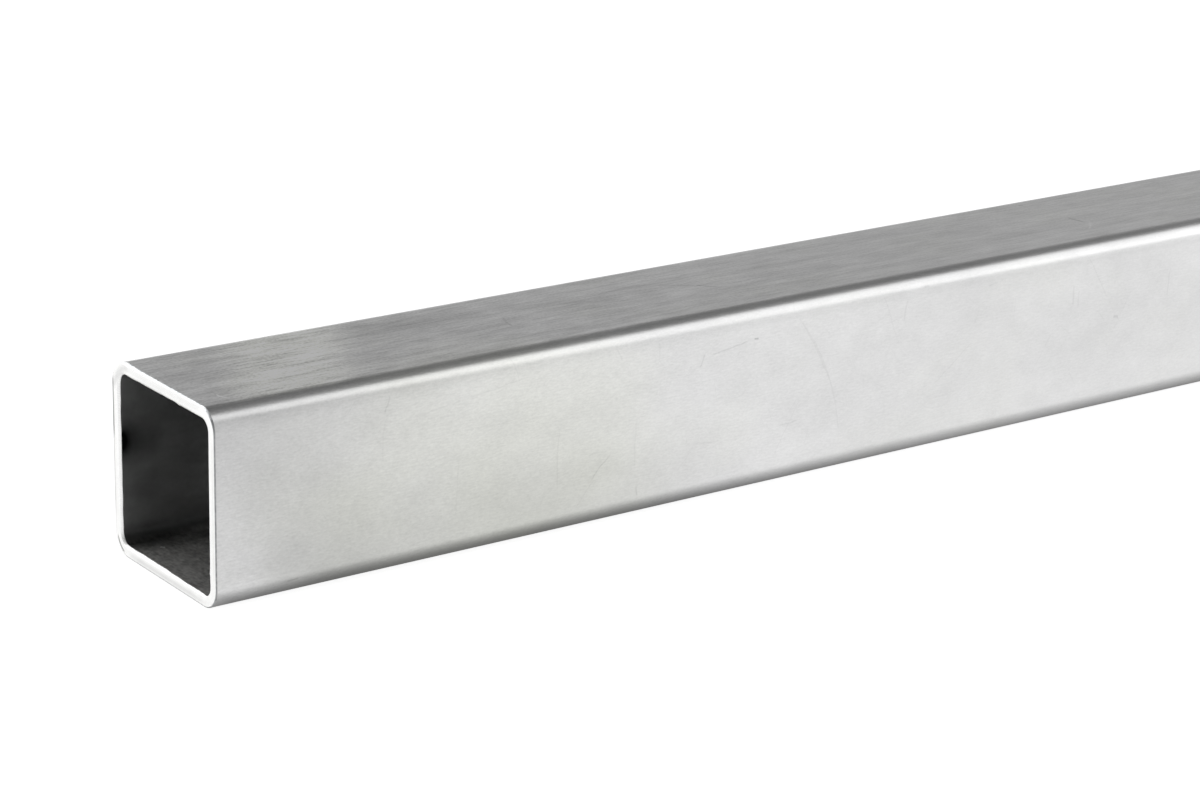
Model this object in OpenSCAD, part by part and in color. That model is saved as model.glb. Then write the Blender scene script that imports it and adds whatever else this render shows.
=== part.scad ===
// Square hollow section: one length of aluminium bar stock with rounded corners,
// sawn square at both ends and deburred inside and out.
// The bar lies along X on its bottom wall. The origin is under its middle.

/* [Section] */
// Outside width of the section, across the bar
section_w = 50; // [30:1:120]
// Outside height of the section
section_h = 50; // [30:1:120]
// Wall thickness, the same on all four sides
wall = 3; // [1.5:0.1:5]
// Outside corner radius
corner_r = 6; // [4:0.5:12]

/* [Stock length] */
// Length that the bar is cut to
bar_l = 1000; // [200:10:6000]

/* [Cut ends] */
// Deburr on the outer edge of each cut end
outer_deburr = 0.3; // [0.1:0.05:0.6]
// Deburr on the inner edge of each cut end
inner_deburr = 0.7; // [0.1:0.05:0.8]

/* [Hidden] */
// The wall runs round the corner at one thickness, so both arcs share a centre.
// Where the wall is too thick for that, the hollow's corner is as round as its deburr.
inside_r = max(corner_r - wall, inner_deburr);
// How far the hollow's cutter runs past each cut end
cutter_past = 2;
$fn = 96;

// Half the outline of a bar of length l, at this reach from its axis. A positive
// bevel narrows both ends at 45 degrees, and a negative one widens them.
function half_outline(l, reach, bevel) = [
    [-l / 2, reach - bevel],
    [-l / 2 + abs(bevel), reach],
    [l / 2 - abs(bevel), reach],
    [l / 2, reach - bevel]
];

// The same outline with its mirror image below the axis
function whole_outline(l, reach, bevel) =
    let (upper = half_outline(l, reach, bevel))
    concat(upper, [for (i = [3:-1:0]) [upper[i][0], -upper[i][1]]]);

// Bar along X with a rounded rectangle for its section and bevelled ends
module rounded_bar(w, h, r, l, bevel) {
    // Upper and lower faces
    rotate([90, 0, 0])
        linear_extrude(w - 2 * r, center = true)
            polygon(whole_outline(l, h / 2, bevel));
    // Side faces
    linear_extrude(h - 2 * r, center = true)
        polygon(whole_outline(l, w / 2, bevel));
    // Corners, which the bevels turn into cones at the ends
    for (y = [-1, 1] * (w / 2 - r), z = [-1, 1] * (h / 2 - r))
        translate([0, y, z])
            rotate([0, 90, 0])
                rotate_extrude()
                    polygon(concat(
                        [[0, l / 2], [0, -l / 2]],
                        [for (p = half_outline(l, r, bevel)) [p[1], p[0]]]
                    ));
}

// The bar: the solid outside less the hollow, with the bevels as deburred edges
module hollow_section() {
    color([0.79, 0.8, 0.81])
        translate([0, 0, section_h / 2])
            difference() {
                rounded_bar(section_w, section_h, corner_r, bar_l, outer_deburr);
                rounded_bar(
                    section_w - 2 * wall,
                    section_h - 2 * wall,
                    inside_r,
                    bar_l + 2 * cutter_past,
                    -(inner_deburr + cutter_past)
                );
            }
}

hollow_section();
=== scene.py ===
from math import pi, radians

import bpy
import numpy as np
from mathutils import Matrix, Vector


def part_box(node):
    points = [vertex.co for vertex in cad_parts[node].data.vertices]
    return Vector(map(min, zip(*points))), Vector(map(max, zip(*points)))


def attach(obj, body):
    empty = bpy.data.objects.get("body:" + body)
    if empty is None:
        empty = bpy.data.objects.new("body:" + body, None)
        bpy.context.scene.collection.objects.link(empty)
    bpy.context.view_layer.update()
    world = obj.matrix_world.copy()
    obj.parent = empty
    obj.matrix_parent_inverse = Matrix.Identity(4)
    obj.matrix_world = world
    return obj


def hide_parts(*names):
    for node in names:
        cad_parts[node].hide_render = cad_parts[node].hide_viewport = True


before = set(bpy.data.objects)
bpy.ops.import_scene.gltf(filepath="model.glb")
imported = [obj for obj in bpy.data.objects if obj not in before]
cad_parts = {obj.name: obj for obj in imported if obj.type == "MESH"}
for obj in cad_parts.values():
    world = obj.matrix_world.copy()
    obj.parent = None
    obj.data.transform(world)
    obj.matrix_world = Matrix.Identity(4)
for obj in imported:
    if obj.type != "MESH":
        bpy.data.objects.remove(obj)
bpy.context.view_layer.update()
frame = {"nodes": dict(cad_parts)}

mm = 0.001
barLow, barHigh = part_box("hollow_section")
barLength, barWidth, barHeight = barHigh - barLow
print("frame:", ", ".join(frame["nodes"]))


def hexColour(text):
    # sRGB hex to linear: under the toe divide by 12.92, over it the 2.4 power curve
    srgb = np.array([int(text[i:i + 2], 16) for i in (1, 3, 5)]) / 255
    linear = np.where(srgb <= 0.04045, srgb / 12.92, ((srgb + 0.055) / 1.055) ** 2.4)
    return (*linear.tolist(), 1.0)


def addNode(tree, kind, inputs=(), stops=(), **settings):
    # Adds one node with its settings and links. An input is a value, a socket, or a node
    # whose first output is meant; stops are the places and colours of a colour ramp.
    node = tree.nodes.new(kind if kind.startswith("NodeGroup") else "ShaderNode" + kind)
    for name, value in settings.items():
        setattr(node, name, value)
    for place, colour in stops[2:]:
        node.color_ramp.elements.new(place)
    for stop, (place, colour) in enumerate(stops):
        node.color_ramp.elements[stop].position = place
        node.color_ramp.elements[stop].color = hexColour(colour)
    for key, value in inputs.items() if isinstance(inputs, dict) else enumerate(inputs):
        if isinstance(value, bpy.types.Node):
            value = value.outputs[0]
        if isinstance(value, bpy.types.NodeSocket):
            tree.links.new(value, node.inputs[key])
        else:
            node.inputs[key].default_value = value
    return node


def newGroup(name, inputs):
    # An empty node group that turns a place into one mask, with its input sockets
    group = bpy.data.node_groups.new(name, "ShaderNodeTree")
    for label, kind in inputs.items():
        group.interface.new_socket(name=label, in_out="INPUT", socket_type="NodeSocket" + kind)
    group.interface.new_socket(name="Mask", in_out="OUTPUT", socket_type="NodeSocketFloat")
    return group, addNode(group, "NodeGroupInput").outputs


def newMetal(name):
    # An empty material with a metal shader, which keeps the default IOR
    material = bpy.data.materials.new(name)
    material.use_nodes = True
    tree = material.node_tree
    tree.nodes.clear()
    metal = addNode(tree, "BsdfPrincipled", {"Metallic": 1.0})
    addNode(tree, "OutputMaterial", {"Surface": metal})
    return material, tree, metal.inputs


bar = {
    "wall": 3 * mm,
    "cornerRadius": 6 * mm,
    "outerDeburr": 0.3 * mm,  # at the far cut
    "innerDeburr": 0.7 * mm,
    # at the near cut: a place on a wall, the edge's reach along the bar and its depth there
    "outerEdge": (
        ("back", 8 * mm, 0.3 * mm, 0.3 * mm),
        ("back", 14 * mm, 0.1 * mm, 0.1 * mm),
        ("back", 44 * mm, 0.15 * mm, 0.15 * mm),
        ("top", 20 * mm, 1.6 * mm, 0.3 * mm),
        ("top", 10 * mm, 0.9 * mm, 0.3 * mm),
        ("top", -18 * mm, 0.7 * mm, 0.3 * mm),
        ("front", 43 * mm, 0.3 * mm, 0.3 * mm),
        ("front", 8 * mm, 0.3 * mm, 0.3 * mm),
    ),
    "innerEdge": (
        ("back", 25 * mm, 0.6 * mm, 0.6 * mm),
        ("top", 0 * mm, 0.9 * mm, 0.9 * mm),
        ("front", 40 * mm, 0.4 * mm, 0.4 * mm),
        ("front", 10 * mm, 0.3 * mm, 0.3 * mm),
        ("bottom", 0 * mm, 0.7 * mm, 0.7 * mm),
    ),
    "edgeWander": 0.18 * mm,  # how unevenly the inner edge was filed
    "edgeWaves": (5, 9, 14, 22, 31),  # times round the section
    "slivers": (("top", -7.5 * mm), ("front", 9.6 * mm)),  # burrs left on the near inner edge
    "sliverHeight": 0.4 * mm,
    "sliverWidth": 0.7 * mm,
    "cornerSteps": 20,  # how finely the mesh is divided
    "flatSteps": 44,
    "lengthSteps": 40,
    "edgeSteps": 5,
    "seed": 7,
}


def roundSection(wall, across):
    # How far round the section a place is, from the back edge of the bottom wall. Across is
    # the height on the back and front walls, and y on the top and bottom.
    radius = bar["cornerRadius"]
    corner = radius * pi / 2
    up, over = barHeight - 2 * radius, barWidth - 2 * radius
    return {
        "back": corner + across - radius,
        "top": 2 * corner + up + over / 2 - across,
        "front": 3 * corner + up + over + barHeight - radius - across,
        "bottom": 4 * corner + 2 * up + over + over / 2 + across,
    }[wall]


def sectionOutline():
    # Rounded rectangle, from the back edge of the bottom up the back, over the top, down the
    # front and under. A corner point is the corner's centre plus radius times its outward
    # normal, and a straight run carries on at right angles to its last normal.
    radius = bar["cornerRadius"]
    turn = np.linspace(-pi / 2, 0, bar["cornerSteps"] + 1)
    share = np.linspace(0, 1, bar["flatSteps"] + 1)[1:-1, None]
    points, normals = [], []
    for quarter, (sideY, sideZ) in enumerate([(1, -1), (1, 1), (-1, 1), (-1, -1)]):
        angle = turn + quarter * pi / 2
        normal = np.stack([np.cos(angle), np.sin(angle)], 1)
        centre = np.array([sideY * (barWidth / 2 - radius), sideZ * (barHeight / 2 - radius)])
        corner = centre + radius * normal
        run = (barHeight, barWidth)[quarter % 2] - 2 * radius
        ahead = np.array([-normal[-1, 1], normal[-1, 0]])
        points += [corner, corner[-1] + share * run * ahead]
        normals += [normal, np.repeat(normal[-1:], len(share), 0)]
    return np.concatenate(points), np.concatenate(normals)


def wallRows():
    # The wall cut lengthwise, once round: outside, far edge, inside, near edge. A row is its
    # share of the half length, its angle (90 degrees outside, 0 on the cut, -90 inside) and
    # whether it belongs to the outer edge's rounding.
    along = np.linspace(-1, 1, bar["lengthSteps"] + 1)
    steps = bar["edgeSteps"]
    turn = np.linspace(0, pi / 2, steps + 1)
    down = turn[::-1]
    share = np.concatenate([along, np.ones(2 * steps + 1), along[-2::-1], -np.ones(2 * steps)])
    angle = np.concatenate([
        np.full(along.size, pi / 2), down[1:], -turn,
        np.full(along.size - 1, -pi / 2), -down[1:], turn[:-1],
    ])
    outer = np.concatenate([
        np.ones(along.size + steps), np.zeros(steps + along.size + steps), np.ones(steps),
    ])
    return share, angle, outer


def filedEdge(name, far, around):
    # An edge's reach and depth round the section, each with a near and a far row: straight
    # lines between the places given at the near cut, and one size all round at the far one
    places = np.array([(roundSection(wall, across), *size) for wall, across, *size in bar[name]])
    near = [np.interp(around[:-1], places[:, 0], size, period=around[-1]) for size in places.T[1:]]
    return np.stack([np.stack([size, np.full(size.size, bar[far])]) for size in near])


def wanderOfEdge(around):
    # The mean of sines of whole wave numbers round the section, plus a narrow bell,
    # exp(-(distance / width) ** 2), for each sliver
    draw = np.random.default_rng(bar["seed"])
    turns = 2 * pi * around[:-1] / around[-1]
    phase = draw.uniform(0, 2 * pi, len(bar["edgeWaves"]))
    wander = bar["edgeWander"] * np.sin(np.outer(turns, bar["edgeWaves"]) + phase).mean(1)
    for wall, across in bar["slivers"]:
        away = (around[:-1] - roundSection(wall, across)) / bar["sliverWidth"]
        wander += bar["sliverHeight"] * np.exp(-away ** 2)
    return wander


def buildBar(finishes):
    # A point is (x, outline point minus depth times its normal). With half length L, wall t,
    # and reach r and depth d of the edge, x is share * L less r * (1 - cos(angle)) at an end;
    # depth is d * (1 - sin(angle)) on the outer edge and t - d * (1 + sin(angle)) on the inner.
    outline, outward = sectionOutline()
    share, angle, outer = wallRows()
    steps = np.linalg.norm(np.roll(outline, -1, 0) - outline, axis=1)
    around = np.concatenate([[0], np.cumsum(steps)])
    sizes = np.where(
        outer[:, None],
        filedEdge("outerEdge", "outerDeburr", around)[:, (share > 0).astype(int)],
        filedEdge("innerEdge", "innerDeburr", around)[:, (share > 0).astype(int)],
    )
    atEnd = np.where(abs(share) == 1, np.sign(share), 0)[:, None]
    along, into = np.cos(angle)[:, None], np.sin(angle)[:, None]
    x = share[:, None] * barLength / 2 - atEnd * sizes[0] * (1 - along)
    depth = np.where(outer[:, None], sizes[1] * (1 - into), bar["wall"] - sizes[1] * (1 + into))
    depth += (1 - outer)[:, None] * abs(atEnd) * into ** 2 * wanderOfEdge(around)
    rows, columns = depth.shape
    section = outline - depth[..., None] * outward + (0, barHeight / 2)
    points = np.concatenate([x[..., None], section], 2)

    # A filed edge is flat in its middle, so its normals lean 45 degrees over most of it: with
    # q for 45 degrees, by q + q * ((angle - q) / q) ** 3, and with a minus on the inner edge.
    quarter = pi / 4
    lean = np.sign(angle) * (quarter + quarter * ((abs(angle) - quarter) / quarter) ** 3)
    tilt = (atEnd[:, 0] * np.cos(lean))[:, None, None]
    facing = np.concatenate([
        np.broadcast_to(tilt, (rows, columns, 1)), np.sin(lean)[:, None, None] * outward,
    ], 2)

    # each quad joins a row to the next and a column to the next, and both close round
    row, column = np.meshgrid(np.arange(rows), np.arange(columns), indexing="ij")
    nextRow, nextColumn = (row + 1) % rows, (column + 1) % columns
    quads = np.stack([
        row * columns + column, row * columns + nextColumn,
        nextRow * columns + nextColumn, nextRow * columns + column,
    ], 2).reshape(-1, 4)
    mesh = bpy.data.meshes.new("hollowBar")
    mesh.from_pydata(points.reshape(-1, 3), [], quads)

    # the finishes in their order: outside, inside, the cut with its inner bevel, the outer rim
    middle = (angle + np.roll(angle, -1)) / 2
    finish = np.select([middle == pi / 2, middle == -pi / 2, middle > 0], [0, 1, 3], 2)
    mesh.polygons.foreach_set("material_index", np.repeat(finish, columns).astype(np.int32))
    mesh.polygons.foreach_set("use_smooth", np.ones(len(quads), bool))
    mesh.normals_split_custom_set_from_vertices(facing.reshape(-1, 3))

    # unrolled: metres from the near cut, and metres round the section
    fromCut = x + barLength / 2
    unrolled = np.stack([
        np.stack([
            fromCut[row, column], fromCut[row, nextColumn],
            fromCut[nextRow, nextColumn], fromCut[nextRow, column],
        ], 2),
        np.stack([around[column], around[column + 1], around[column + 1], around[column]], 2),
    ], 3)
    mesh.uv_layers.new(name="unrolled").uv.foreach_set("vector", unrolled.ravel())
    for material in finishes:
        mesh.materials.append(material)
    piece = bpy.data.objects.new("hollowBar", mesh)
    bpy.context.scene.collection.objects.link(piece)
    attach(piece, "root")
    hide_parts("hollow_section")
    print("hollowBar:", len(quads), "quads")


def strokeGroup():
    # One scratch: 1 on a line from start to end that bows aside by bow * 4t(1 - t). It falls
    # to 0 a width away from the line, and over the last fifth at both ends, where t(1 - t)
    # is under 0.16.
    group, given = newGroup("stroke", {
        "Place": "Vector", "Start": "Vector", "End": "Vector", "Bow": "Float", "Width": "Float",
    })
    axis = addNode(group, "VectorMath", (given["End"], given["Start"]), operation="SUBTRACT")
    offset = addNode(group, "VectorMath", (given["Place"], given["Start"]), operation="SUBTRACT")
    length = addNode(group, "VectorMath", (axis,), operation="LENGTH").outputs["Value"]
    ahead = addNode(group, "VectorMath", (axis,), operation="NORMALIZE")
    along = addNode(group, "VectorMath", (offset, ahead), operation="DOT_PRODUCT").outputs["Value"]
    aside = addNode(group, "VectorMath", (ahead, offset), operation="CROSS_PRODUCT")
    aside = addNode(group, "SeparateXYZ", (aside,)).outputs["Z"]
    share = addNode(group, "Math", (along, length), operation="DIVIDE")
    rest = addNode(group, "Math", (1.0, share), operation="SUBTRACT")
    hump = addNode(group, "Math", (share, rest), operation="MULTIPLY")
    bow = addNode(group, "Math", (given["Bow"], 4.0), operation="MULTIPLY")
    bow = addNode(group, "Math", (bow, hump), operation="MULTIPLY")
    away = addNode(group, "Math", (aside, bow), operation="SUBTRACT")
    away = addNode(group, "Math", (away,), operation="ABSOLUTE")
    away = addNode(group, "Math", (away, given["Width"]), operation="DIVIDE")
    line = addNode(group, "MapRange", (away, 0.0, 1.0, 1.0, 0.0), interpolation_type="SMOOTHSTEP")
    taper = addNode(group, "MapRange", (hump, 0.0, 0.16, 0.0, 1.0), interpolation_type="SMOOTHSTEP")
    mask = addNode(group, "Math", (line, taper), operation="MULTIPLY")
    addNode(group, "NodeGroupOutput", (mask,))
    return group


def strayGroup():
    # One faint scratch in about each cell of a Voronoi pattern: the cell's colour gives its
    # direction, whether it is there at all, and how strong. From 0.2 to 0.5 of its length
    # away from its middle it thins out to nothing.
    group, given = newGroup("strayScratches", {
        "Place": "Vector", "Cell": "Float", "Length": "Float", "Width": "Float", "Share": "Float",
    })
    invert = addNode(group, "Math", (1.0, given["Cell"]), operation="DIVIDE")
    scaled = addNode(group, "VectorMath", {0: given["Place"], "Scale": invert}, operation="SCALE")
    cells = addNode(group, "TexVoronoi", {"Vector": scaled, "Scale": 1.0}, voronoi_dimensions="2D").outputs
    offset = addNode(group, "VectorMath", (scaled, cells["Position"]), operation="SUBTRACT")
    offset = addNode(group, "VectorMath", {0: offset, "Scale": given["Cell"]}, operation="SCALE")
    random = addNode(group, "SeparateColor", (cells["Color"],)).outputs
    turn = addNode(group, "Math", (random["Red"], 2 * pi), operation="MULTIPLY")
    turned = addNode(group, "VectorRotate", {"Vector": offset, "Angle": turn}, rotation_type="Z_AXIS")
    turned = addNode(group, "SeparateXYZ", (turned,)).outputs
    away = addNode(group, "Math", (turned["Y"],), operation="ABSOLUTE")
    away = addNode(group, "Math", (away, given["Width"]), operation="DIVIDE")
    line = addNode(group, "MapRange", (away, 0.0, 1.0, 1.0, 0.0), interpolation_type="SMOOTHSTEP")
    reach = addNode(group, "Math", (turned["X"],), operation="ABSOLUTE")
    reach = addNode(group, "Math", (reach, given["Length"]), operation="DIVIDE")
    taper = addNode(group, "MapRange", (reach, 0.2, 0.5, 1.0, 0.0), interpolation_type="SMOOTHSTEP")
    there = addNode(group, "Math", (random["Green"], given["Share"]), operation="LESS_THAN")
    mask = addNode(group, "Math", (line, taper), operation="MULTIPLY")
    mask = addNode(group, "Math", (mask, there), operation="MULTIPLY")
    mask = addNode(group, "Math", (mask, random["Blue"]), operation="MULTIPLY")
    addNode(group, "NodeGroupOutput", (mask,))
    return group


def patchGroup():
    # A soft oval patch: 1 up to 0.3 of its reach from the centre, and 0 from its reach on
    group, given = newGroup("patch", {"Place": "Vector", "Centre": "Vector", "Reach": "Vector"})
    offset = addNode(group, "VectorMath", (given["Place"], given["Centre"]), operation="SUBTRACT")
    offset = addNode(group, "VectorMath", (offset, given["Reach"]), operation="DIVIDE")
    away = addNode(group, "VectorMath", (offset,), operation="LENGTH").outputs["Value"]
    mask = addNode(group, "MapRange", (away, 0.3, 1.0, 1.0, 0.0), interpolation_type="SMOOTHSTEP")
    addNode(group, "NodeGroupOutput", (mask,))
    return group


def addGrain(tree, place, layers):
    # A sum of noises about zero. A layer is its cell's length along the bar, its width across
    # it, its detail and its share of the sum.
    total = 0.0
    for length, width, detail, share in layers:
        cell = addNode(tree, "Mapping", {"Vector": place, "Scale": (1 / length, 1 / width, 1 / width)})
        noise = addNode(tree, "TexNoise", {"Vector": cell, "Scale": 1.0, "Detail": detail})
        about = addNode(tree, "Math", (noise, 0.5), operation="SUBTRACT")
        total = addNode(tree, "Math", (about, share, total), operation="MULTIPLY_ADD")
    return total


def addStrokes(tree, place, group, marks, total):
    # The placed scratches, by strength, added to the total. A mark is its start, end, bow and
    # width, in millimetres, and its strength.
    for start, end, bow, width, strength in marks:
        ends = [(along * mm, across * mm, 0) for along, across in (start, end)]
        mark = addNode(tree, "Group", (place, *ends, bow * mm, width * mm), node_tree=group)
        total = addNode(tree, "Math", (mark, strength, total), operation="MULTIPLY_ADD")
    return total


def addPatches(tree, place, group, patches, total):
    # The placed patches, by strength, added to the total. A patch is its centre and reach, in
    # millimetres, and its strength.
    for centre, reach, strength in patches:
        middle = (centre[0] * mm, centre[1] * mm, 0)
        extent = (reach[0] * mm, reach[1] * mm, 1)
        patch = addNode(tree, "Group", (place, middle, extent), node_tree=group)
        total = addNode(tree, "Math", (patch, strength, total), operation="MULTIPLY_ADD")
    return total


def unroll(table, spots):
    # A table of scratches or patches by wall as one list. The first spots of each, given in
    # millimetres from the near cut and across the wall, become places on the unrolled bar.
    marks = []
    for wall, rows in table.items():
        for row in rows:
            places = [(along, roundSection(wall, across * mm) / mm) for along, across in row[:spots]]
            marks.append((*places, *row[spots:]))
    return marks


outside = {
    "colours": ("#dbdbdb", "#dcddd7"),  # clean, and with the faint straw cast of old oil
    "roughness": 0.33,
    "grainRoughness": 0.25,  # how much the brush lines vary it
    # real brush lines are about 0.05 mm wide; they are drawn wide enough to show
    "grain": (
        (0.7 * mm, 0.4 * mm, 1.0, 0.17),
        (2.4 * mm, 0.5 * mm, 1.0, 0.17),
    ),
    "clouds": ((9 * mm, 6 * mm, 1.0, 0.11), (40 * mm, 20 * mm, 1.0, 0.15)),
    # the top was brushed harder
    "topGrain": (
        (0.9 * mm, 0.5 * mm, 1.0, 0.48),
        (7 * mm, 0.7 * mm, 1.0, 0.50),
        (40 * mm, 3 * mm, 1.0, 0.36),
        (12 * mm, 8 * mm, 2.0, 0.26),
    ),
    "topFrom": (0.3 * mm, 0.02 * mm),  # the top's grain comes in between these depths
    # how strong the brush lines are at the sawn end, further in, and from how far
    "worn": (1.32, 0.7, 240 * mm),
    # the fine lines that the die drew, and the long, slight waves of the walls
    "dieLines": ((40 * mm, 0.7 * mm, 2.0, 1.0), (90 * mm, 15 * mm, 0.0, 20.0)),
    "dieDepth": 0.004 * mm,
    "endShadeTone": 0.75,  # painted shade: the front wall is darkened by this at the sawn end
    "endShadeLength": 125 * mm,
    "endShadeFrom": (-18.8 * mm, -20.8 * mm),  # it comes in between these places across the bar
    "endShadeBend": (4 * mm, 2.4 * mm, 0.35),  # and drops to this share between these depths
    "sheenPlace": 34 * mm,  # painted reflection: a bright band across the top near the sawn end
    "sheenSlant": 0.5,  # how far it runs along the bar for each step across
    "sheenWidth": 23 * mm,
    "sheenCore": 0.3,  # how much of its width is fully bright
    "sheenTone": 0.34,  # how much brighter it is
    "sheenGrain": 0.8,  # how strong its own brush lines are
    "sheenCast": 0.6,  # how much of the straw cast it has
    # soft darker and lighter areas: centre, reach and strength. On the front wall they are painted
    # shade low down and along the bottom edge, and painted light higher up and at the sawn end
    "patches": {
        "front": (
            ((78, 4), (92, 23), -0.06),
            ((112, 5), (60, 26), -0.08),
            ((102, 43), (55, 13), 0.04),
            ((62, 38), (40, 20), 0.04),
            ((32, 14), (22, 20), -0.05),
            ((0, 8), (18, 40), 0.10),
            ((70, 0), (200, 6), -0.22),
            ((6, 1), (30, 8), 0.12),
            ((0, -1), (6, 5), 0.30),
        ),
        "top": (((80, 10), (28, 10), -0.12), ((9, 3), (10, 8), -0.06)),
    },
    "faintOil": ((30 * mm, 20 * mm, 1.0, 0.8),),
    "oil": {"front": (((75, 18), (83, 52), 0.8),)},
    "shake": (400.0, 0.6 * mm),  # how often in a metre a scratch wavers, and how far
    # faint stray scratches all over: cell, length, width, share of the cells and strength
    "strays": (
        (30 * mm, 22 * mm, 0.3 * mm, 0.6, -0.06),
        (9 * mm, 6 * mm, 0.25 * mm, 0.5, -0.05),
    ),
    # Placed scratches: start and end on the wall, bow, width and strength. A positive bow sags
    # down the front wall, or towards the sawn end where the scratch runs down the wall.
    "strokes": {
        "front": (
            ((172.2, 46.5), (188.8, 8), -3.5, 0.40, -0.06),
            ((173.5, 45.2), (185.2, 25), -0.5, 0.35, -0.07),
            ((144, 40), (157.6, 42.2), 0.3, 0.30, -0.14),
            ((140.8, 36.8), (142.6, 41), 0.3, 0.35, -0.12),
            ((158.6, 42.1), (160, 42), 0, 0.45, -0.35),
            ((114, 19), (107.5, 12.8), 0.5, 0.35, -0.14),
            ((109, 13.5), (102.8, 6), 0.2, 0.35, -0.06),
            ((106, 19.5), (113, 19.5), -0.6, 0.30, -0.08),
            ((121.7, 9), (122.2, 6), 0, 0.35, -0.12),
            ((115, 47), (116.5, 42.8), 0.1, 0.35, -0.06),
            ((128, 46.5), (128.2, 42), 0, 0.35, -0.06),
            ((134.5, 17.6), (147.5, 16), 0, 0.40, -0.05),
            ((97.6, 29), (97.4, 11), 0.4, 0.35, -0.07),
            ((48.2, 46), (46.4, 41.5), 0.2, 0.40, -0.12),
            ((46.8, 41), (46, 29), 0.5, 0.35, -0.05),
            ((121.5, 27), (121.2, 13), 0.3, 0.40, -0.06),
            ((210.5, 45), (209.6, 38.5), 0.2, 0.45, -0.08),
            ((271.5, 39.5), (271.6, 33), 0.1, 0.50, -0.09),
            ((273.4, 38), (273.6, 32), 0, 0.40, -0.05),
            ((309, 39), (308.4, 30), 0.2, 0.45, -0.07),
            ((167.6, 16.7), (174.6, 17.3), 0.1, 0.40, -0.08),
            ((287.4, 27.6), (289.6, 27.2), 0, 0.80, -0.14),
            ((216.6, 47), (218.8, 47), 0, 0.50, -0.12),
            ((19, 4.4), (22.6, 4.6), 0.1, 0.45, -0.20),
            ((53, 39), (88, 43.7), 0, 0.40, -0.05),
            ((62, 33.9), (88.5, 33.8), 0.7, 0.35, -0.045),
            ((239, 44), (243, 44.6), 0.2, 0.35, -0.08),
        ),
        "top": (
            ((7.2, -13), (8.4, -17), 0.5, 0.35, 0.5),
            ((158.6, 0.7), (162.8, -3.8), 0, 0.60, -0.32),
            ((149.2, 6.5), (160, -0.4), 0, 0.55, -0.16),
            ((188, 2.6), (189.6, 1.2), 0, 0.50, -0.16),
            ((99.5, 3.6), (96.6, -5), 0.4, 0.60, -0.16),
            ((291.6, 0.4), (292.6, -7), 0.3, 0.80, -0.26),
            ((287.4, -13), (294, -6.2), 0.4, 0.50, 0.14),
            ((288.4, 17.4), (290, 16.6), 0, 0.60, -0.30),
            ((104.5, 11.5), (106.5, 8.5), 0, 0.50, -0.12),
        ),
    },
}


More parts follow.
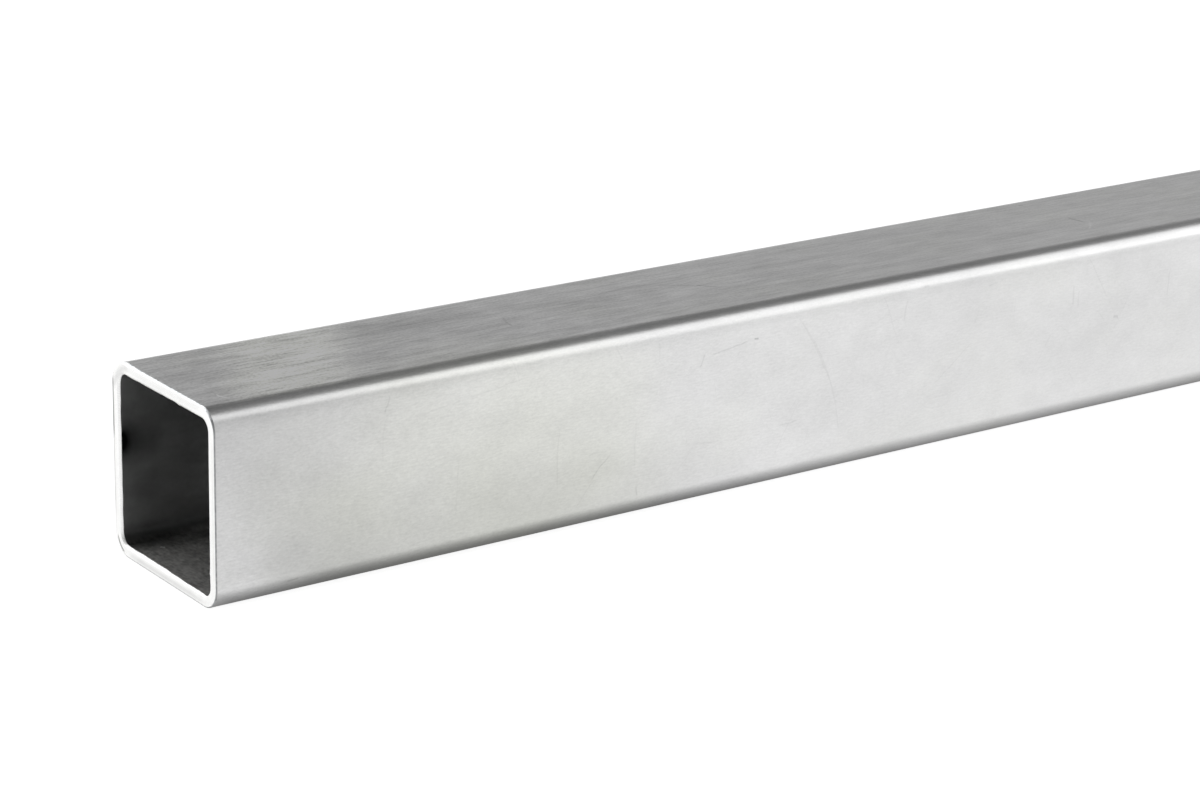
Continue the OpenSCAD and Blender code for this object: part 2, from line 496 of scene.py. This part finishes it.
def millFinish(stroke, stray, patch):
    # Extruded aluminium as it leaves the mill, lightly brushed along the bar. To the eye it is
    # a soft grey mirror: lengthwise lines, pale clouds, and scratches from handling.
    material, tree, metal = newMetal("millFinishAluminium")
    place = addNode(tree, "TexCoord").outputs["Object"]
    unrolled = addNode(tree, "UVMap", uv_map="unrolled")
    spot = addNode(tree, "SeparateXYZ", (place,)).outputs
    atCut, furtherIn, fade = outside["worn"]
    worn = addNode(tree, "MapRange", (spot["X"], barLow.x, barLow.x + fade, atCut, furtherIn))
    grain = addGrain(tree, place, outside["grain"])
    grain = addNode(tree, "Math", (grain, worn), operation="MULTIPLY")
    clouds = addGrain(tree, place, outside["clouds"])
    start, end = outside["topFrom"]
    onTop = addNode(tree, "MapRange", (spot["Z"], barHigh.z - start, barHigh.z - end, 0.0, 1.0))
    topGrain = addGrain(tree, place, outside["topGrain"])
    topGrain = addNode(tree, "Math", (topGrain, worn), operation="MULTIPLY")
    tone = addNode(tree, "Math", (grain, clouds), operation="ADD")
    tone = addNode(tree, "Math", (topGrain, onTop, tone), operation="MULTIPLY_ADD")

    # painted reflection: a slanted band on the top painted brighter, with the brush lines strong inside it
    sheenLine = addNode(tree, "VectorMath", (
        place, (1, -outside["sheenSlant"], 0),
    ), operation="DOT_PRODUCT").outputs["Value"]
    sheenAway = addNode(tree, "Math", (sheenLine, barLow.x + outside["sheenPlace"]), operation="SUBTRACT")
    sheenAway = addNode(tree, "Math", (sheenAway,), operation="ABSOLUTE")
    paintedSheen = addNode(tree, "MapRange", (
        sheenAway, outside["sheenCore"] * outside["sheenWidth"], outside["sheenWidth"], 1.0, 0.0,
    ), interpolation_type="SMOOTHSTEP")
    paintedSheen = addNode(tree, "Math", (paintedSheen, onTop), operation="MULTIPLY")
    sheenTone = addNode(tree, "Math", (
        topGrain, outside["sheenGrain"], outside["sheenTone"],
    ), operation="MULTIPLY_ADD")
    tone = addNode(tree, "Math", (paintedSheen, sheenTone, tone), operation="MULTIPLY_ADD")

    # scratches, a little shaken: the placed ones, and strays all over
    often, aside = outside["shake"]
    shake = addNode(tree, "TexNoise", {"Vector": place, "Scale": often, "Detail": 1.0})
    shaken = addNode(tree, "VectorMath", (
        shake.outputs["Color"], (aside,) * 3, unrolled,
    ), operation="MULTIPLY_ADD")
    shaken = addNode(tree, "VectorMath", (shaken, (aside / 2, aside / 2, 0)), operation="SUBTRACT")
    shaken = addNode(tree, "VectorMath", (shaken, (1, 1, 0)), operation="MULTIPLY")
    tone = addStrokes(tree, shaken, stroke, unroll(outside["strokes"], 2), tone)
    for *sizes, strength in outside["strays"]:
        strays = addNode(tree, "Group", (shaken, *sizes), node_tree=stray)
        tone = addNode(tree, "Math", (strays, strength, tone), operation="MULTIPLY_ADD")

    # painted shade towards the sawn end, on the front wall and round its corner, and patches in places
    onFront = addNode(tree, "MapRange", (spot["Y"], *outside["endShadeFrom"], 0.0, 1.0))
    start, end, share = outside["endShadeBend"]
    onBend = addNode(tree, "MapRange", (spot["Z"], barHigh.z - start, barHigh.z - end, 1.0, share))
    onFront = addNode(tree, "Math", (onFront, onBend), operation="MULTIPLY")
    paintedShadeAndPatches = addNode(tree, "MapRange", (
        spot["X"], barLow.x, barLow.x + outside["endShadeLength"], outside["endShadeTone"] - 1, 0.0,
    ))
    tone = addNode(tree, "Math", (tone, 1.0), operation="ADD")
    paintedShadeAndPatches = addNode(tree, "Math", (paintedShadeAndPatches, onFront, 1.0), operation="MULTIPLY_ADD")
    paintedShadeAndPatches = addPatches(tree, unrolled, patch, unroll(outside["patches"], 1), paintedShadeAndPatches)
    tone = addNode(tree, "Math", (tone, paintedShadeAndPatches), operation="MULTIPLY")

    # the straw cast: where the oil lay, in the painted reflection on the top, and faintly elsewhere
    cast = addGrain(tree, place, outside["faintOil"])
    cast = addPatches(tree, unrolled, patch, unroll(outside["oil"], 1), cast)
    cast = addNode(tree, "Math", (paintedSheen, outside["sheenCast"], cast), operation="MULTIPLY_ADD")
    clean, oiled = outside["colours"]
    colour = addNode(tree, "ValToRGB", (cast,), stops=((0.0, clean), (1.0, oiled)))
    colour = addNode(tree, "VectorMath", {0: colour, "Scale": tone}, operation="SCALE")
    tree.links.new(colour.outputs[0], metal["Base Color"])
    roughness = addNode(tree, "Math", (
        grain, outside["grainRoughness"], outside["roughness"],
    ), operation="MULTIPLY_ADD")
    tree.links.new(roughness.outputs[0], metal["Roughness"])
    lines = addGrain(tree, place, outside["dieLines"])
    bump = addNode(tree, "Bump", {
        "Height": lines, "Distance": outside["dieDepth"], "Strength": 1.0,
    })
    tree.links.new(bump.outputs[0], metal["Normal"])
    return material


cutEnd = {
    "colour": "#f8f8f7",
    "roughness": 0.5,
    "speckleRoughness": 0.4,  # how much the speckle varies it
    "bladeCentre": (0, -60 * mm, 190 * mm),  # which the arcs run round
    "toothSpacing": 0.55 * mm,
    "toothTone": 0.04,
    "toothWaver": 20.0,  # how much the speckle shakes the arcs
    "bump": (0.01 * mm, 0.5),  # depth of the arcs, and how strongly it shows
    "speckle": ((0.4 * mm, 0.4 * mm, 1.0, 0.18), (3 * mm, 3 * mm, 1.0, 0.10)),
    # grey painted shade along the outline of the cut, darkening its edges: start and end in
    # millimetres of y and height, bow, width and strength
    "edgeShade": (
        ((24.7, 47), (24.75, 29), 0, 0.6, -0.75),
        ((24.75, 37), (24.7, 6), 0, 0.45, -0.28),
        ((23.9, 4.8), (20.4, 0.9), 0.65, 0.45, -0.75),
        ((20, 0.2), (-20, 0.2), 0, 0.35, -0.12),
        ((24.4, 42), (16, 49.4), -1.9, 1.6, -0.2),
        ((24.1, 46), (24.1, 5), 0, 1.3, -0.03),
        ((21, 1.1), (-22, 1.1), 0, 1.2, -0.18),
        ((19, 48.6), (-21, 48.6), 0, 1.6, -0.08),
        ((-23.9, 46), (-23.9, 5), 0, 0.9, -0.10),
    ),
}


def sawnEnd(stroke):
    # Freshly sawn aluminium: bright and almost matt, with the arcs that the blade's teeth left
    material, tree, metal = newMetal("sawnAluminium")
    place = addNode(tree, "TexCoord").outputs["Object"]
    flat = addNode(tree, "VectorMath", (place, (0, 1, 1)), operation="MULTIPLY")
    reach = addNode(tree, "VectorMath", (flat, cutEnd["bladeCentre"]), operation="DISTANCE")
    reach = reach.outputs["Value"]
    speckle = addGrain(tree, place, cutEnd["speckle"])
    turns = addNode(tree, "Math", (reach, 2 * pi / cutEnd["toothSpacing"]), operation="MULTIPLY")
    turns = addNode(tree, "Math", (speckle, cutEnd["toothWaver"], turns), operation="MULTIPLY_ADD")
    teeth = addNode(tree, "Math", (turns,), operation="SINE")
    tone = addNode(tree, "Math", (teeth, cutEnd["toothTone"], speckle), operation="MULTIPLY_ADD")
    tone = addNode(tree, "Math", (tone, 1.0), operation="ADD")
    spot = addNode(tree, "SeparateXYZ", (place,)).outputs
    flat = addNode(tree, "CombineXYZ", (spot["Y"], spot["Z"]))
    # painted shade along the edges of the cut
    tone = addStrokes(tree, flat, stroke, cutEnd["edgeShade"], tone)
    colour = addNode(tree, "VectorMath", {
        0: hexColour(cutEnd["colour"])[:3], "Scale": tone,
    }, operation="SCALE")
    tree.links.new(colour.outputs[0], metal["Base Color"])
    roughness = addNode(tree, "Math", (
        speckle, cutEnd["speckleRoughness"], cutEnd["roughness"],
    ), operation="MULTIPLY_ADD")
    tree.links.new(roughness.outputs[0], metal["Roughness"])
    depth, strength = cutEnd["bump"]
    bump = addNode(tree, "Bump", {"Height": teeth, "Distance": depth, "Strength": strength})
    tree.links.new(bump.outputs[0], metal["Normal"])
    return material


rim = {
    "colours": ("#868889", "#aeafb0"),
    "topHighlight": 1.65,  # painted highlight: the top edge, which faces the light, is painted brighter by this much
    "topFrom": (3 * mm, 0.5 * mm),  # it brightens between these depths under the top
    "roughness": 0.45,
    "nickRoughness": 0.1,  # how much the nicks vary it
    "nicks": ((0.8 * mm, 0.8 * mm, 2.0, 3.0),),
    "bump": (0.03 * mm, 0.5),  # depth of the nicks, and how strongly it shows
}


def filedRim():
    # The outer edge of a cut after a few file strokes: a dim, matt grey, a little uneven, with a painted
    # highlight along its top
    material, tree, metal = newMetal("filedAluminium")
    place = addNode(tree, "TexCoord").outputs["Object"]
    height = addNode(tree, "SeparateXYZ", (place,)).outputs["Z"]
    nicks = addGrain(tree, place, rim["nicks"])
    nicks = addNode(tree, "Math", (nicks, 0.5), operation="ADD")
    dark, light = rim["colours"]
    colour = addNode(tree, "ValToRGB", (nicks,), stops=((0.0, dark), (1.0, light)))
    # painted highlight, brighter towards the top edge
    start, end = rim["topFrom"]
    tone = addNode(tree, "MapRange", (
        height, barHigh.z - start, barHigh.z - end, 1.0, 1.0 + rim["topHighlight"],
    ))
    colour = addNode(tree, "VectorMath", {0: colour, "Scale": tone}, operation="SCALE")
    tree.links.new(colour.outputs[0], metal["Base Color"])
    roughness = addNode(tree, "Math", (
        nicks, rim["nickRoughness"], rim["roughness"],
    ), operation="MULTIPLY_ADD")
    tree.links.new(roughness.outputs[0], metal["Roughness"])
    depth, strength = rim["bump"]
    bump = addNode(tree, "Bump", {"Height": nicks, "Distance": depth, "Strength": strength})
    tree.links.new(bump.outputs[0], metal["Normal"])
    return material


inside = {
    "colours": ("#a4a5a5", "#cfcecc"),  # the walls, and the floor of the hollow, with scuffs, painted paler for the light that falls on it
    "roughness": 0.45,
    "floorRoughness": 0.1,  # more than the walls
    "grainRoughness": 0.2,  # how much the grain varies it
    "floorFrom": (4.2 * mm, 3.1 * mm),  # the wall turns into the floor between these heights
    "darkest": 0.03,  # what is left of the tone where the dark spot and painted shade are darkest
    "bump": (0.01 * mm, 1.0),  # depth of the grain, and how strongly it shows
    "grain": (
        (1.2 * mm, 0.9 * mm, 1.0, 0.15),
        (12 * mm, 2.5 * mm, 1.0, 0.15),
        (6 * mm, 5 * mm, 2.0, 0.3),
    ),
    "floorGrain": ((0.8 * mm, 1.6 * mm, 1.0, 1.0), (3 * mm, 6 * mm, 1.0, 0.7)),
    # A dark spot on the back wall by the sawn end, painted shade along the lower back corner and on
    # the floor further in, and painted light on the back wall further in: centre, reach and strength.
    # The unrolled bar's seam is in that corner, so the shade across it is given on both walls alike.
    "patches": {
        "back": (
            ((0.3, 29.2), (3.6, 4.8), -0.35),
            ((0.8, 29.2), (7, 6), -0.25),
            ((2, 29), (14, 7.5), -0.4),
            ((50, 24), (46, 28), 1.0),
            ((44, 12), (40, 15), 0.5),
            ((2, 0.5), (22, 8), -0.4),
            ((20, -3.4), (70, 8), -0.4),
        ),
        "bottom": (
            ((2, 22.9), (22, 8), -0.4),
            ((20, 19), (70, 8), -0.4),
            ((65, 19), (62, 15), -0.4),
        ),
    },
    # two bright specks on the floor: painted glints of small burrs
    "specks": {
        "bottom": (((6.5, 14.6), (7.5, 13.6), 0, 0.5, 2.0), ((2.4, -17.6), (3.8, -19), 0, 0.7, 4.5)),
    },
}


def hollowSkin(stroke, patch):
    # The hollow's own skin: the die left it duller than the outside, and it was never brushed.
    # It is nearly smooth to the eye, with a dark spot, painted shade and painted light inside the
    # sawn end, and a floor with scuffs, painted paler for the light that falls on it.
    material, tree, metal = newMetal("extrudedAluminiumInside")
    place = addNode(tree, "TexCoord").outputs["Object"]
    unrolled = addNode(tree, "UVMap", uv_map="unrolled")
    height = addNode(tree, "SeparateXYZ", (place,)).outputs["Z"]
    grain = addGrain(tree, place, inside["grain"])
    floor = addNode(tree, "MapRange", (height, *inside["floorFrom"], 0.0, 1.0))
    # painted light: the floor of the hollow is paler than its walls
    wall, litFloor = inside["colours"]
    colour = addNode(tree, "ValToRGB", (floor,), stops=((0.0, wall), (1.0, litFloor)))
    floorGrain = addGrain(tree, place, inside["floorGrain"])
    tone = addNode(tree, "Math", (grain, 1.0), operation="ADD")
    tone = addNode(tree, "Math", (floorGrain, floor, tone), operation="MULTIPLY_ADD")
    # painted glints of small burrs on the floor
    tone = addStrokes(tree, unrolled, stroke, unroll(inside["specks"], 2), tone)
    # painted shade in the lower back corner and on the floor further in, painted light on the back wall
    # further in, and the dark spot
    clear = addPatches(tree, unrolled, patch, unroll(inside["patches"], 1), 1.0)
    tone = addNode(tree, "Math", (tone, clear), operation="MULTIPLY")
    tone = addNode(tree, "Math", (tone, inside["darkest"]), operation="MAXIMUM")
    colour = addNode(tree, "VectorMath", {0: colour, "Scale": tone}, operation="SCALE")
    tree.links.new(colour.outputs[0], metal["Base Color"])
    roughness = addNode(tree, "Math", (
        floor, inside["floorRoughness"], inside["roughness"],
    ), operation="MULTIPLY_ADD")
    roughness = addNode(tree, "Math", (
        grain, inside["grainRoughness"], roughness,
    ), operation="MULTIPLY_ADD")
    tree.links.new(roughness.outputs[0], metal["Roughness"])
    depth, strength = inside["bump"]
    bump = addNode(tree, "Bump", {"Height": grain, "Distance": depth, "Strength": strength})
    tree.links.new(bump.outputs[0], metal["Normal"])
    return material


studio = {
    "floorSide": 60.0,
    "floorColour": "#a8a8a8",
    "floorGlow": 0.89,  # how white the floor is to the camera and in the metal
    # what is left of it at the seam, from how far under the bar, and to how far out
    "seamShade": (0.25, -4 * mm, 8 * mm),
    "worldStops": (
        (0.0, "#cfcfcf"), (0.31, "#c4c4c4"), (0.37, "#b2b2b2"), (0.55, "#767676"), (0.65, "#6c6c6c"),
        (0.88, "#6e6e6e"), (0.96, "#a4a4a4"), (1.0, "#b4b4b4"),
    ),
    # a lamp hangs at its reach from its aim, in metres, and faces the aim
    "lamps": {
        "overheadSoftbox": {
            "shape": "ELLIPSE", "aim": (-0.11, 0.0, 0.0), "toward": (0.6, -0.352, 0.719),
            "reach": 1.6, "size": (2.15, 1.06), "level": 1.02,
        },
        "frontPanel": {
            "shape": "RECTANGLE", "aim": (-0.1, 0.0, 1.1), "toward": (0.5, -0.82, 0.0),
            "reach": 2.6, "size": (4.0, 2.0), "level": 0.5,
        },
        "endPanel": {
            "shape": "RECTANGLE", "aim": (-0.5, 0.0, 0.05), "toward": (-0.55, 0.7, 0.45),
            "reach": 1.9, "size": (1.8, 1.5), "level": 1.7,
        },
    },
}


def buildFloor():
    # A pale painted floor, quite matt, so that all it shows is the bar's soft shadow
    side = studio["floorSide"] / 2
    mesh = bpy.data.meshes.new("floor")
    corners = [(-side, -side, 0), (side, -side, 0), (side, side, 0), (-side, side, 0)]
    mesh.from_pydata(corners, [], [(0, 1, 2, 3)])
    material = bpy.data.materials.new("matteFloor")
    material.use_nodes = True
    tree = material.node_tree
    tree.nodes.clear()
    matte = addNode(tree, "BsdfDiffuse", {"Color": hexColour(studio["floorColour"])})

    # white to the camera and in the metal; the matte part keeps the shadow
    ray = addNode(tree, "LightPath").outputs
    seen = addNode(tree, "Math", (ray["Is Camera Ray"], ray["Is Glossy Ray"]), operation="MAXIMUM")
    seen = addNode(tree, "Math", (seen, ray["Is Transmission Ray"]), operation="MAXIMUM")
    glow = addNode(tree, "Math", (seen, studio["floorGlow"]), operation="MULTIPLY")
    glow = addNode(tree, "Emission", {"Color": hexColour("#ffffff"), "Strength": glow})
    both = addNode(tree, "AddShader", (matte, glow))

    # painted shade: near the bar the floor is dark to glossy rays only, so the metal sees a dark seam
    # where it meets the floor
    spot = addNode(tree, "SeparateXYZ", (addNode(tree, "TexCoord").outputs["Object"],)).outputs
    out = addNode(tree, "Math", (spot["Y"],), operation="ABSOLUTE")
    darkest, start, end = studio["seamShade"]
    seam = addNode(tree, "MapRange", (out, barHigh.y + start, barHigh.y + end, 1 - darkest, 0.0))
    along = addNode(tree, "Math", (spot["X"],), operation="ABSOLUTE")
    along = addNode(tree, "Math", (along, barHigh.x), operation="LESS_THAN")
    seam = addNode(tree, "Math", (seam, along), operation="MULTIPLY")
    seam = addNode(tree, "Math", (seam, ray["Is Glossy Ray"]), operation="MULTIPLY")
    dark = addNode(tree, "BsdfDiffuse", {"Color": hexColour("#000000")})
    whole = addNode(tree, "MixShader", (seam, both, dark))
    addNode(tree, "OutputMaterial", {"Surface": whole})
    mesh.materials.append(material)
    floor = bpy.data.objects.new("floor", mesh)
    bpy.context.scene.collection.objects.link(floor)


def buildLamp(name, kit):
    # A soft panel that faces its aim, with its width as near along the bar as that allows.
    # Power is level times pi times area, so that a level of 1 is white in a mirror.
    width, height = kit["size"]
    lamp = bpy.data.lights.new(name, "AREA")
    lamp.shape = kit["shape"]
    lamp.size = width
    lamp.size_y = height
    lamp.energy = kit["level"] * pi * width * height
    thing = bpy.data.objects.new(name, lamp)
    bpy.context.scene.collection.objects.link(thing)
    away = Vector(kit["toward"]).normalized()
    across = (Vector((1, 0, 0)) - away.x * away).normalized()
    turn = Matrix((across, away.cross(across), away)).transposed().to_4x4()
    thing.matrix_world = Matrix.Translation(Vector(kit["aim"]) + kit["reach"] * away) @ turn
    thing.visible_camera = False


def buildWorld():
    # A grey room by height: bright at the horizon, dark over it, with a pale ceiling
    world = bpy.data.worlds.new("greyRoom")
    bpy.context.scene.world = world
    world.use_nodes = True
    tree = world.node_tree
    tree.nodes.clear()
    direction = addNode(tree, "TexCoord").outputs["Generated"]
    height = addNode(tree, "SeparateXYZ", (direction,)).outputs["Z"]
    colour = addNode(tree, "ValToRGB", (height,), stops=studio["worldStops"])
    room = addNode(tree, "Background", {"Color": colour, "Strength": 1.0})
    addNode(tree, "OutputWorld", {"Surface": room})


view = {
    "place": (-851 * mm, -656 * mm, 293 * mm),
    "yaw": radians(36.14),
    "pitch": radians(18.34),
    "roll": radians(1.40),
    "lens": 98.76,
    "sensor": 36.0,
    "clip": (0.01, 100.0),
}


def buildCamera():
    # A long lens, a little above the bar, that looks along it from the sawn end
    camera = bpy.data.cameras.new("camera")
    camera.lens = view["lens"]
    camera.sensor_width = view["sensor"]
    camera.clip_start, camera.clip_end = view["clip"]
    thing = bpy.data.objects.new("camera", camera)
    bpy.context.scene.collection.objects.link(thing)
    turn = (
        Matrix.Rotation(-view["yaw"], 4, "Z")
        @ Matrix.Rotation(pi / 2 - view["pitch"], 4, "X")
        @ Matrix.Rotation(view["roll"], 4, "Z")
    )
    thing.matrix_world = Matrix.Translation(view["place"]) @ turn
    bpy.context.scene.camera = thing


stroke, stray, patch = strokeGroup(), strayGroup(), patchGroup()
finishes = [
    millFinish(stroke, stray, patch), hollowSkin(stroke, patch), sawnEnd(stroke), filedRim(),
]
print("finishes:", ", ".join(finish.name for finish in finishes))
buildBar(finishes)
buildFloor()
for name, kit in studio["lamps"].items():
    buildLamp(name, kit)
buildWorld()
buildCamera()
bpy.context.scene.view_settings.view_transform = "Standard"
print("studio:", ", ".join(studio["lamps"]), "with floor, room and camera")
